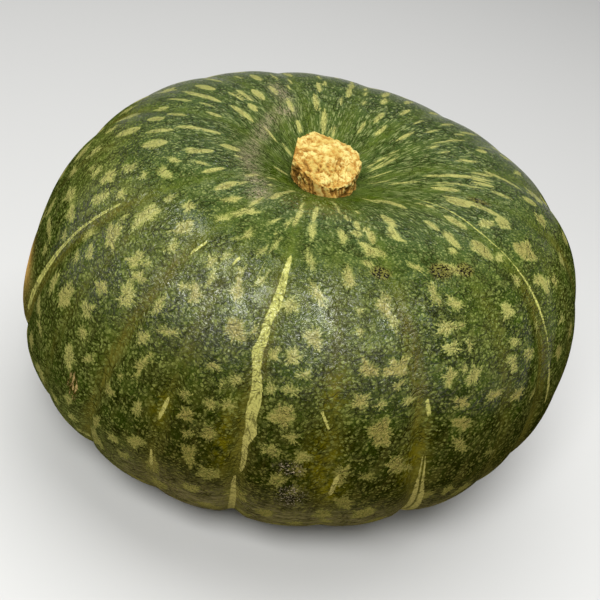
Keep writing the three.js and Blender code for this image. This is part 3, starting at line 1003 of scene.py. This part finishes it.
    # stipple: pale dots that crowd together and merge into those marks
    stippleCells = texture("ShaderNodeTexVoronoi", rind["stippleSpacing"], swayed)
    stipple = stippleCells.outputs["Distance"]
    dashes = texture("ShaderNodeTexVoronoi", rind["dashSpacing"], crownMap).outputs["Distance"]
    strength = ramp(apart(tree, stippleCells.outputs["Color"])[0], 0.1, 1.0, 0.36, 0.8)
    crown = ramp(latitude, 50.0, 66.0)
    stipple = plus(times(stipple, minus(1.0, crown)), times(dashes, crown))
    dots = plus(stipple, bothWays(hair, ramp(crown, 0.0, 1.0, 0.65, 0.25)))
    present = times(ramp(grain(3.6, 2.0), 0.3, 0.55), ramp(mark, -0.6, -1.8, 0.4, 1.0))
    present = times(present, ramp(latitude, 83.0, 76.0))
    crowded = ramp(mark, -0.9, 0.9)
    wide = plus(0.27, times(present, 0.17), times(crowded, 0.55))
    dotShare = ramp(minus(wide, dots), -0.06, 0.07)
    tanShare = plus(times(attribute("patchTone"), 0.3), ramp(latitude, 45.0, 5.0, 0.1, 0.6),
                    ramp(mark, 0.6, 2.0, 0.0, 0.35))
    tanShare = times(tanShare, ramp(east, -64.0, -24.0, 0.5, 1.0))
    patchColour = blend(tanShare, rind["paleGreen"], rind["tan"])
    patchColour = blend(ramp(mark, ramp(latitude, 48.0, 60.0, 1.2, 0.6), -0.2, 0.0, 0.7), patchColour,
                        rind["edgeGreen"])
    # painted shade: patches darker and browner toward the base
    patchColour = blend(times(low, 0.8), patchColour, rind["lowShadedTan"])
    speckle = plus(times(grain(0.45, 1.0, 0.6), 0.6), times(fibre(rind["rayCount"] * 2.5), 0.4))
    patchColour = blend(ramp(speckle, 0.54, 0.4, 0.0, 0.66), patchColour, rind["midGreen"])
    patchColour = blend(ramp(speckle, 0.56, 0.66, 0.0, 0.35), patchColour, rind["stripeCream"])
    dotColour = blend(ramp(latitude, 46.0, 60.0), rind["stippleGreen"], rind["dashGreen"])
    # painted shade: dots darker and browner toward the base
    dotColour = blend(low, dotColour, rind["lowShadedStipple"])
    dotColour = blend(ramp(mark, -0.6, 0.6), dotColour, patchColour)
    strength = calc(tree, "MAXIMUM", strength,
                    times(ramp(mark, -0.4, 0.6), ramp(latitude, 48.0, 62.0, 0.82, 0.95)))
    strength = times(strength, calc(tree, "MAXIMUM", ramp(latitude, 34.0, 50.0, 1.0, 0.86),
                                    ramp(mark, -0.2, 0.4)))
    strength = times(strength, calc(tree, "MAXIMUM", ramp(seam, 0.2, 0.9, 1.0, 0.6),
                                    ramp(mark, -0.4, 0.4)))
    surface = blend(times(dotShare, strength), ground, dotColour)
    # painted shade in the wrinkle valleys, where no patch or seam lies
    bare = times(ramp(mark, 0.3, -0.5), ramp(seam, 0.1, 0.5, 1.0, 0.1))
    surface = blend(times(times(valley, bare), 0.55), surface, rind["paintedShadeDark"])

    # crisp cream stripes, flecked with the green beneath
    distance = calc(tree, "ABSOLUTE", attribute("stripeAcross"))
    outerEdge = plus(attribute("stripeHalf"), times(distance, -1.0), bothWays(fine, 0.8))
    coreEdge = plus(distance, times(attribute("stripeCore"), -1.0), 0.15)
    stripeEdge = calc(tree, "MINIMUM", outerEdge, coreEdge)
    flecked = ramp(grain(0.8, 2.0, 0.6, stretch=(1.0, 1.0, 0.25)), 0.34, 0.48, 0.3, 1.0)
    # painted shade: stripes darker and browner toward the base
    stripeColour = blend(low, rind["stripeCream"], rind["stripeShadedTan"])
    surface = blend(times(ramp(stripeEdge, -0.12, 0.14), flecked), surface, stripeColour)

    # wear: grey scurf round the basin, small dark scabs, the pale spot where it lay on the soil
    scurf = times(attribute("scurf"), ramp(plus(times(combed, 0.4), times(hair, 0.6)), 0.45, 0.56))
    surface = blend(times(scurf, 0.85), surface, rind["scurfGrey"])
    scab = attribute("scab")
    surface = blend(times(ramp(plus(scab, times(hair, 1.2)), 0.9, 1.2), 0.55), surface, rind["scabTan"])
    specks = grain(0.8, 2.0, 0.5)
    surface = blend(times(ramp(scab, 0.25, 0.6), ramp(specks, 0.49, 0.53)), surface, rind["scabBrown"])
    scratched = grain(0.9, 2.0, 0.6, stretch=(1.0, 1.0, 0.22))
    scar = ramp(plus(attribute("scar"), times(hair, 0.8)), 0.75, 1.05)
    surface = blend(times(scar, ramp(scratched, 0.44, 0.5, 0.1, 0.55)), surface, rind["scarBrown"])
    surface = blend(times(scar, ramp(scratched, 0.51, 0.55, 0.0, 0.9)), surface, rind["scarTan"])
    burn = times(ramp(attribute("burn"), 0.2, 0.8), ramp(fine, 0.36, 0.52))
    surface = blend(times(burn, 0.75), surface, rind["scabBrown"])
    surface = blend(times(burn, ramp(hair, 0.56, 0.64)), surface, rind["scurfGrey"])
    surface = blend(attribute("groundSpot"), surface, rind["spotOrange"])
    feed(tree, skin["Base Color"], surface)

    # waxy skin: the wrinkles stand out where the light grazes them
    relief = plus(times(ramp(skinEdge, 0.0, 0.2), lined),
                  times(times(ramp(creaseEdge, 0.0, 0.3), creased), 0.6),
                  times(fine, 0.25), times(hair, 0.5), times(dotShare, 0.15))
    addBump(tree, skin, relief, 1.0, rind["bumpDepth"])
    feed(tree, skin["Roughness"],
         ramp(mark, -0.5, 1.0, rind["roughness"], rind["roughness"] + 0.16))
    rim = tree.nodes.new("ShaderNodeLayerWeight")
    rim.inputs["Blend"].default_value = 0.5
    facing = rim.outputs["Facing"]
    dullCrown = calc(tree, "MAXIMUM", ramp(facing, 0.55, 0.3), ramp(latitude, 62.0, 72.0))
    dullCrown = times(ramp(latitude, 40.0, 52.0, 0.0, 0.95), dullCrown)
    dullRight = ramp(east, 30.0, 54.0, 0.0, 0.75)
    dullSide = times(ramp(facing, 0.3, 0.6), ramp(latitude, 56.0, 36.0))
    worn = calc(tree, "MAXIMUM", ramp(latitude, 30.0, 12.0), calc(tree, "MAXIMUM", dullCrown, dullSide))
    worn = calc(tree, "MAXIMUM", worn, times(dullRight, ramp(latitude, 60.0, 44.0)))
    gloss = ramp(attribute("polish"), 0.0, 1.0, rind["gloss"], rind["polish"])
    feed(tree, skin["Specular IOR Level"], ramp(worn, 0.0, 1.0, gloss, rind["glossLow"]))
    return material


stub = {
    "name": "cork_stem",
    "margin": 0.1,            # kept free inside the stub's box
    "crackWidth": 0.07,
    "radius": 11.4,
    "height": 12.2,
    "edgePoints": 96,
    # share of the way from the foot's middle over the side to the top's middle
    # -> share of the radius, of the height
    "reachCurve": ((0.0, 0.0), (0.22, 0.95), (0.27, 0.99), (0.33, 0.98), (0.5, 1.01), (0.62, 0.99),
                   (0.72, 0.86), (1.0, 0.0)),
    "riseCurve": ((0.0, 0.0), (0.22, 0.0), (0.27, 0.1), (0.33, 0.2), (0.5, 0.56), (0.62, 0.8),
                  (0.72, 0.93), (0.84, 1.0), (1.0, 0.96)),
    # azimuth, polar angle, size and rise of the big lumps
    "lumps": ((118, 46, 0.3, 1.9), (182, 70, 0.4, 1.9), (155, 62, 0.3, 1.2), (100, 60, 0.4, 0.6),
              (20, 80, 0.4, 1.0),
              (-40, 90, 0.4, 1.0), (-75, 50, 0.4, 0.6), (-120, 85, 0.35, 0.6), (-5, 88, 0.5, 2.7),
              (-100, 38, 0.22, -1.4)),
    "lumpSize": 7.0,
    "lumpRelief": 2.1,
    "knobSize": 1.5,
    "knobRelief": 0.85,
    "grainSize": 0.55,
    "grainRelief": 1.0,
    "crackSpacing": 2.2,
    "crackDepth": 0.9,
    "sunkFoot": 0.4,
    "tipLean": (-2.4, 0.3),
    "leanFrom": 0.3,
    # where the painted shade of the stub's left side begins, in mm
    "shadedSideFrom": 2.0,
    "seed": 3.0,
    # the top slants: share of the height at the middle, fall over one radius, direction
    "cuts": ((1.06, 0.72, -65.0), (1.0, 0.24, 176.0)),
    "cutSoftness": 0.4,
    "bevel": 0.26,
    "straw": linear(196, 170, 90),
    "cream": linear(216, 200, 124),
    "orange": linear(176, 132, 58),
    # the dark of the cork's cracks and of the painted shade in the relief's low places
    "crackAndShade": linear(122, 86, 28),
}

stubInputs = (
    ("Edge Points", "edgePoints", 1),
    ("Radius", "radius", mm),
    ("Height", "height", mm),
    ("Lump Size", "lumpSize", mm),
    ("Lump Relief", "lumpRelief", mm),
    ("Knob Size", "knobSize", mm),
    ("Knob Relief", "knobRelief", mm),
    ("Grain Size", "grainSize", mm),
    ("Grain Relief", "grainRelief", mm),
    ("Crack Spacing", "crackSpacing", mm),
    ("Crack Depth", "crackDepth", mm),
    ("Seed", "seed", 1),
)


def stubTree(skin):
    sockets = ["Geometry"] + [name for name, _, _ in stubInputs]
    tree, given, result = openGroup("corkStub", sockets, ("Geometry",))
    plus, minus, times, over = sums(tree)
    ball = evenBall(tree, given["Edge Points"])
    place = tree.nodes.new("GeometryNodeInputPosition").outputs[0]
    dx, dy, dz = apart(tree, place)
    flat = calc(tree, "SQRT", plus(times(dx, dx), times(dy, dy)))
    way = minus(1.0, over(calc(tree, "ARCTAN2", flat, dz), math.pi))

    def along(points):
        node = tree.nodes.new("ShaderNodeFloatCurve")
        feed(tree, node.inputs["Value"], way)
        node.mapping.use_clip = False
        curve = node.mapping.curves[0]
        curve.points[0].location, curve.points[1].location = points[0], points[-1]
        for point in points[1:-1]:
            curve.points.new(*point)
        node.mapping.update()
        return node.outputs[0]

    lumps = []
    for azimuth, polar, size, rise in stub["lumps"]:
        turn, tip = math.radians(azimuth), math.radians(polar)
        heart = (math.sin(tip) * math.cos(turn), math.sin(tip) * math.sin(turn), math.cos(tip))
        away = vectorCalc(tree, "LENGTH", vectorCalc(tree, "SUBTRACT", place, heart))
        lumps.append(times(bell(tree, away, size), rise * mm))
    lump = plus(*lumps)
    safe = calc(tree, "MAXIMUM", flat, 0.0001)
    outer = times(along(stub["reachCurve"]), given["Radius"])
    outer = plus(outer, times(times(lump, flat), 0.6))
    upper = calc(tree, "GREATER_THAN", way, 0.24)
    uncut = along(stub["riseCurve"])
    share = uncut
    for middle, fall, toward in stub["cuts"]:
        ahead = plus(times(dx, math.cos(math.radians(toward))),
                     times(dy, math.sin(math.radians(toward))))
        ahead = times(over(ahead, safe), along(stub["reachCurve"]))
        share = calc(tree, "SMOOTH_MIN", share, minus(middle, times(ahead, fall)), stub["cutSoftness"])
    rise = plus(times(share, given["Height"]),
                times(times(lump, upper), share))
    bitten = times(minus(uncut, share), stub["bevel"])
    outer = times(outer, minus(1.0, bitten))
    shaped = placeAt(tree, ball, times(outer, over(dx, safe)), times(outer, over(dy, safe)), rise)

    def texture(kind, size, stretch=(1, 1, 1), **settings):
        node = tree.nodes.new(kind)
        if kind == "ShaderNodeTexNoise":
            node.noise_dimensions = "4D"
        else:
            node.voronoi_dimensions = "4D"
            node.feature = "SMOOTH_F1"
        feed(tree, node.inputs["Vector"], vectorCalc(tree, "MULTIPLY", place, stretch))
        feed(tree, node.inputs["W"], given["Seed"])
        feed(tree, node.inputs["Scale"], over(1.0, size))
        for name, value in settings.items():
            node.inputs[name].default_value = value
        return node.outputs[0]

    swell = minus(texture("ShaderNodeTexNoise", given["Lump Size"], Detail=1.0), 0.5)
    knob = minus(0.45, texture("ShaderNodeTexVoronoi", given["Knob Size"], Smoothness=0.35))
    grain = minus(texture("ShaderNodeTexNoise", given["Grain Size"], Detail=3.0, Roughness=0.6), 0.5)
    furrow = calc(tree, "ABSOLUTE", minus(texture(
        "ShaderNodeTexNoise", given["Crack Spacing"], stretch=(1, 1, 0.22), Detail=2.0), 0.5))
    furrow = times(calc(tree, "MAXIMUM", minus(stub["crackWidth"], furrow), 0.0), 1 / stub["crackWidth"])
    normal = tree.nodes.new("GeometryNodeInputNormal").outputs[0]
    level = apart(tree, normal)[2]
    sideways = minus(1.0, times(level, level))
    sideways = plus(times(sideways, 0.85), 0.15)
    furrow = times(furrow, sideways)
    close = plus(times(knob, given["Knob Relief"]), times(grain, given["Grain Relief"]),
                 times(furrow, times(given["Crack Depth"], -1.0)))
    push = plus(close, times(swell, given["Lump Relief"]))
    push = times(push, upper)
    # the relief and the steepness are kept on the points, for the cork's colours
    kept = keepOnPoints(tree, shaped, "lift", "FLOAT", over(close, mm))
    kept = keepOnPoints(tree, kept, "steep", "FLOAT", sideways)
    finishTree(tree, pushOut(tree, kept, push), skin, result)
    return tree


def seatStub(piece, fruitMesh, pole):
    # stand the stub in the basin, its foot following the rind
    low, high = (np.array(corner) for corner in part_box("stem"))
    ground = BVHTree.FromPolygons([v.co for v in fruitMesh.vertices],
                                  [tuple(p.vertices) for p in fruitMesh.polygons])
    points = readPoints(piece.data)
    height = stub["height"] * mm
    reach = stub["radius"] * mm
    floor = np.empty(len(points))
    for index, (x, y) in enumerate(points[:, :2] + pole[:2]):
        hit = ground.ray_cast(Vector((x, y, 1.0)), Vector((0, 0, -1)))[0]
        floor[index] = hit.z - stub["sunkFoot"] * mm
    rim = np.abs(np.hypot(points[:, 0], points[:, 1]) - reach) < 0.1 * reach
    level = floor[rim].mean()
    share = np.clip(points[:, 2] / height, 0, 1)
    points[:, 2] += floor * (1 - share) + level * share
    points[:, :2] += pole[:2] + (share[:, None] - stub["leanFrom"]) * np.array(stub["tipLean"]) * mm
    points = np.clip(points, low + stub["margin"] * mm, high - stub["margin"] * mm)
    writePoints(piece.data, points)


def corkMaterial():
    material, tree, skin = startMaterial("cork")
    plus, minus, times, _ = sums(tree)
    place = tree.nodes.new("ShaderNodeTexCoord").outputs["Object"]

    def grain(size, detail=2.0, rough=0.5):
        node = tree.nodes.new("ShaderNodeTexNoise")
        feed(tree, node.inputs["Vector"], place)
        node.inputs["Scale"].default_value = 1 / (size * mm)
        node.inputs["Detail"].default_value = detail
        node.inputs["Roughness"].default_value = rough
        return node.outputs[0]

    ramp = partial(ramped, tree)
    blend = partial(mixColour, tree)
    lift = attributeOf(tree, "lift")
    steep = ramp(attributeOf(tree, "steep"), 0.55, 0.95)
    fine = grain(0.5, 3.0, 0.65)
    patchy = grain(5.0, 2.0)
    east, _, height = apart(tree, place)
    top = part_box("stem")[1].z
    colour = blend(ramp(patchy, 0.4, 0.62), stub["straw"], stub["cream"])
    foot = times(ramp(height, top - 9 * mm, top - 12 * mm), 0.5)
    colour = blend(foot, colour, stub["orange"])
    # painted shade: low places in the relief turn orange, then dark, partly the cork's own dark cracks;
    # steep sides are a little darker
    shade = plus(lift, times(minus(fine, 0.5), 0.9))
    shade = minus(shade, times(steep, 0.05))
    # painted shade: the stub's left side is darker, standing in for its shaded side
    shadedSide = ramp(east, stub["shadedSideFrom"] * mm, (stub["shadedSideFrom"] - 6) * mm)
    shadedSide = times(shadedSide, ramp(grain(1.8, 2.0), 0.4, 0.6))
    shade = minus(shade, times(shadedSide, 0.22))
    colour = blend(ramp(shade, 0.0, -0.45), colour, stub["orange"])
    colour = blend(ramp(shade, -0.35, -0.8), colour, stub["crackAndShade"])
    feed(tree, skin["Base Color"], colour)
    addBump(tree, skin, fine, 0.5, 0.2)
    skin["Roughness"].default_value = 0.85
    skin["Specular IOR Level"].default_value = 0.2
    return material


rindFinish = rindMaterial()
fruitPiece = grow(fruit["name"], fruitTree(rindFinish), fruitInputs, fruit)
seatFruit(fruitPiece)
stemPole = markFruit(fruitPiece.data)
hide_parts("fruit")
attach(fruitPiece, "root")

stubPiece = grow(stub["name"], stubTree(corkMaterial()), stubInputs, stub)
seatStub(stubPiece, fruitPiece.data, stemPole)
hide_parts("stem")
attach(stubPiece, "root")
print("stem stub seated")
